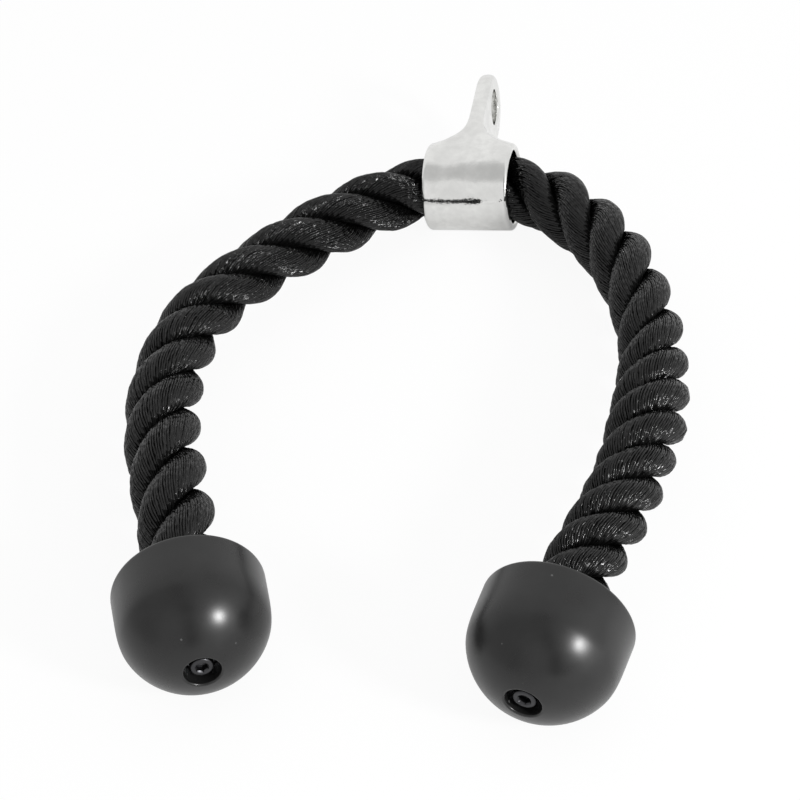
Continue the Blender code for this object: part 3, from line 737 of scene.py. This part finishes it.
rubber = rubber_paint("stopper_rubber", roughness=0.29)
zinc = metal_paint("zinc_plate", (0.55, 0.56, 0.58), roughness=0.35)
black = metal_paint("black_oxide", (0.055, 0.055, 0.058), roughness=0.36)
for side_name in SIDE_NAMES:
    wider, longer = STRETCHES[side_name]
    turned = spun(stopper_profile(), STOPPER_SIDES) * np.array([wider, wider, longer])
    grip = grid_mesh("grip", moved(turned, seats[side_name]), True)
    stand_in(f"grip_{side_name}", grip, f"stopper_{side_name}", f"{side_name}_leg", rubber)
    screw = grid_mesh("screw", moved(screw_rings(), seats[side_name]))
    stand_in(f"screw_{side_name}", screw, f"cap_screw_{side_name}", f"{side_name}_leg", black)


# Materials of the CAD nodes that stay

coats = {f"{piece}_{name}": zinc for piece in ("washer", "rope_cup", "cup_nut") for name in SIDE_NAMES}
coats["grip_sleeve"] = rubber_paint("sleeve_rubber", roughness=0.5)
for node, coat in coats.items():
    shown = frame["nodes"][node]
    shown.data.materials.clear()
    shown.data.materials.append(coat)
    shown.data.shade_smooth()
    shown.data.set_sharp_from_angle(angle=CREASE_FINE)


# Floor

FLOOR_HALF, FLOOR_DROP = 3.0, 0.0002  # it lies a little under the object
FLOOR_TONE = 0.84
FLOOR_WHITE, FLOOR_MIRRORED = 0.92, 0.3  # how much of it is plain white to the camera and in reflections


def floor():
    """White to the camera but for a share that takes the object's shadow."""
    mesh = bpy.data.meshes.new("floor")
    far = FLOOR_HALF
    mesh.from_pydata([(-far, -far, 0), (far, -far, 0), (far, far, 0), (-far, far, 0)], [], [(0, 1, 2, 3)])
    made = link("floor", mesh)
    made.location.z = -FLOOR_DROP
    coat = bpy.data.materials.new("floor")
    coat.use_nodes = True
    tree = coat.node_tree
    tree.nodes.remove(tree.nodes["Principled BSDF"])
    add = adder(tree)
    lit = add("ShaderNodeBsdfDiffuse", {"Color": (FLOOR_TONE, FLOOR_TONE, FLOOR_TONE, 1)})
    own = add("ShaderNodeEmission", {"Color": (1, 1, 1, 1)})
    ray = add("ShaderNodeLightPath")
    seen = calc(add, "MULTIPLY", ray.outputs["Is Camera Ray"], FLOOR_WHITE)
    share = calc(add, "MULTIPLY_ADD", ray.outputs["Is Glossy Ray"], FLOOR_MIRRORED, seen)
    mix = add("ShaderNodeMixShader", {0: share, 1: lit.outputs[0], 2: own.outputs[0]})
    tree.links.new(mix.outputs[0], tree.nodes["Material Output"].inputs["Surface"])
    mesh.materials.append(coat)


# World: the room that the shiny parts mirror. Ranges are cosines of the angle from a direction.

ROOM_LEVEL, BACKDROP_LEVEL = 0.94, 0.98  # how bright it is in front of the object and behind it
BACKDROP_RANGE = (-0.08, 0.14)  # from +Y
LEFT_CHANGE, LEFT_RANGE = -0.25, (0.3, 0.6)  # how the left wall differs, from -X
RIGHT_CHANGE, RIGHT_RANGE = 0.55, (0.5, 0.95)  # and the right wall, from +X
CEILING_SHARE, CEILING_WAY, CEILING_RANGE = 0.30, (-0.1, -0.27, 0.96), (0.84, 0.99)  # how much it dims
# The camera's stand, darker than the room: how far to the side and up it reaches, and how soft its edges are
STAND_AZIMUTH_DEG, STAND_SHARE, STAND_HALF, STAND_TOP = 20.0, 0.7, 0.14, 0.86
STAND_SOFT, STAND_TOP_SOFT, STAND_FRONT_RANGE = 0.06, 0.08, (0.1, 0.3)


def world():
    """White to the camera, and the plain room to all else."""
    made = bpy.data.worlds.new("studio")
    bpy.context.scene.world = made
    made.use_nodes = True
    tree = made.node_tree
    back = tree.nodes["Background"]
    add = adder(tree)
    way = add("ShaderNodeTexCoord").outputs["Generated"]

    def towards(aim, source, target):
        """A value that goes softly from one target to the other as a direction nears the aim."""
        near = add("ShaderNodeVectorMath", {0: way, 1: aim}, operation="DOT_PRODUCT").outputs["Value"]
        return ramp(add, near, source, target, interpolation_type="SMOOTHSTEP")

    left = towards((-1.0, 0.0, 0.0), LEFT_RANGE, (0.0, LEFT_CHANGE))
    right = towards((1.0, 0.0, 0.0), RIGHT_RANGE, (0.0, RIGHT_CHANGE))
    walls = calc(add, "ADD", left, right)
    behind = towards((0.0, 1.0, 0.0), BACKDROP_RANGE, (0.0, 1.0))
    ahead = calc(add, "ADD", walls, ROOM_LEVEL)
    level = add("ShaderNodeMix", {0: behind, 2: ahead, 3: BACKDROP_LEVEL}, data_type="FLOAT").outputs[0]
    ceiling = towards(CEILING_WAY, CEILING_RANGE, (1.0, 1.0 - CEILING_SHARE))
    level = calc(add, "MULTIPLY", level, ceiling)

    turn = math.radians(STAND_AZIMUTH_DEG)
    side = (math.cos(turn), math.sin(turn), 0.0)
    front = (math.sin(turn), -math.cos(turn), 0.0)
    stand = towards(side, (-STAND_HALF - STAND_SOFT, -STAND_HALF + STAND_SOFT), (0.0, 1.0))
    for shade in (
        towards(side, (STAND_HALF - STAND_SOFT, STAND_HALF + STAND_SOFT), (1.0, 0.0)),
        towards(front, STAND_FRONT_RANGE, (0.0, 1.0)),
        towards((0.0, 0.0, 1.0), (STAND_TOP - STAND_TOP_SOFT, STAND_TOP + STAND_TOP_SOFT), (1.0, 0.0)),
    ):
        stand = calc(add, "MULTIPLY", stand, shade)
    darker = calc(add, "SUBTRACT", 1.0, calc(add, "MULTIPLY", stand, STAND_SHARE))
    level = calc(add, "MULTIPLY", level, darker)
    ray = add("ShaderNodeLightPath").outputs["Is Camera Ray"]
    pick = add("ShaderNodeMix", {0: ray, 2: level, 3: 1.0}, data_type="FLOAT")
    tree.links.new(pick.outputs[0], back.inputs["Strength"])
    back.inputs["Color"].default_value = (1, 1, 1, 1)


# Lamp: a round softbox 1.3 m off to the right front, as the highlights on both stoppers show

LAMP_PLACE, LAMP_AIM = Vector((1.01, -0.62, 0.544)), Vector((0.0, -0.02, 0.02))
LAMP_WIDE, LAMP_WATTS = 0.22, 13.2


def lamp():
    """The softbox, which the camera doesn't see."""
    data = bpy.data.lights.new("key", "AREA")
    data.energy, data.size, data.shape = LAMP_WATTS, LAMP_WIDE, "DISK"
    made = bpy.data.objects.new("key", data)
    bpy.context.scene.collection.objects.link(made)
    made.location = LAMP_PLACE
    made.rotation_euler = (LAMP_PLACE - LAMP_AIM).to_track_quat("Z", "Y").to_euler()
    made.visible_camera = False


floor()
world()
lamp()

bpy.context.scene.view_settings.view_transform = "Standard"
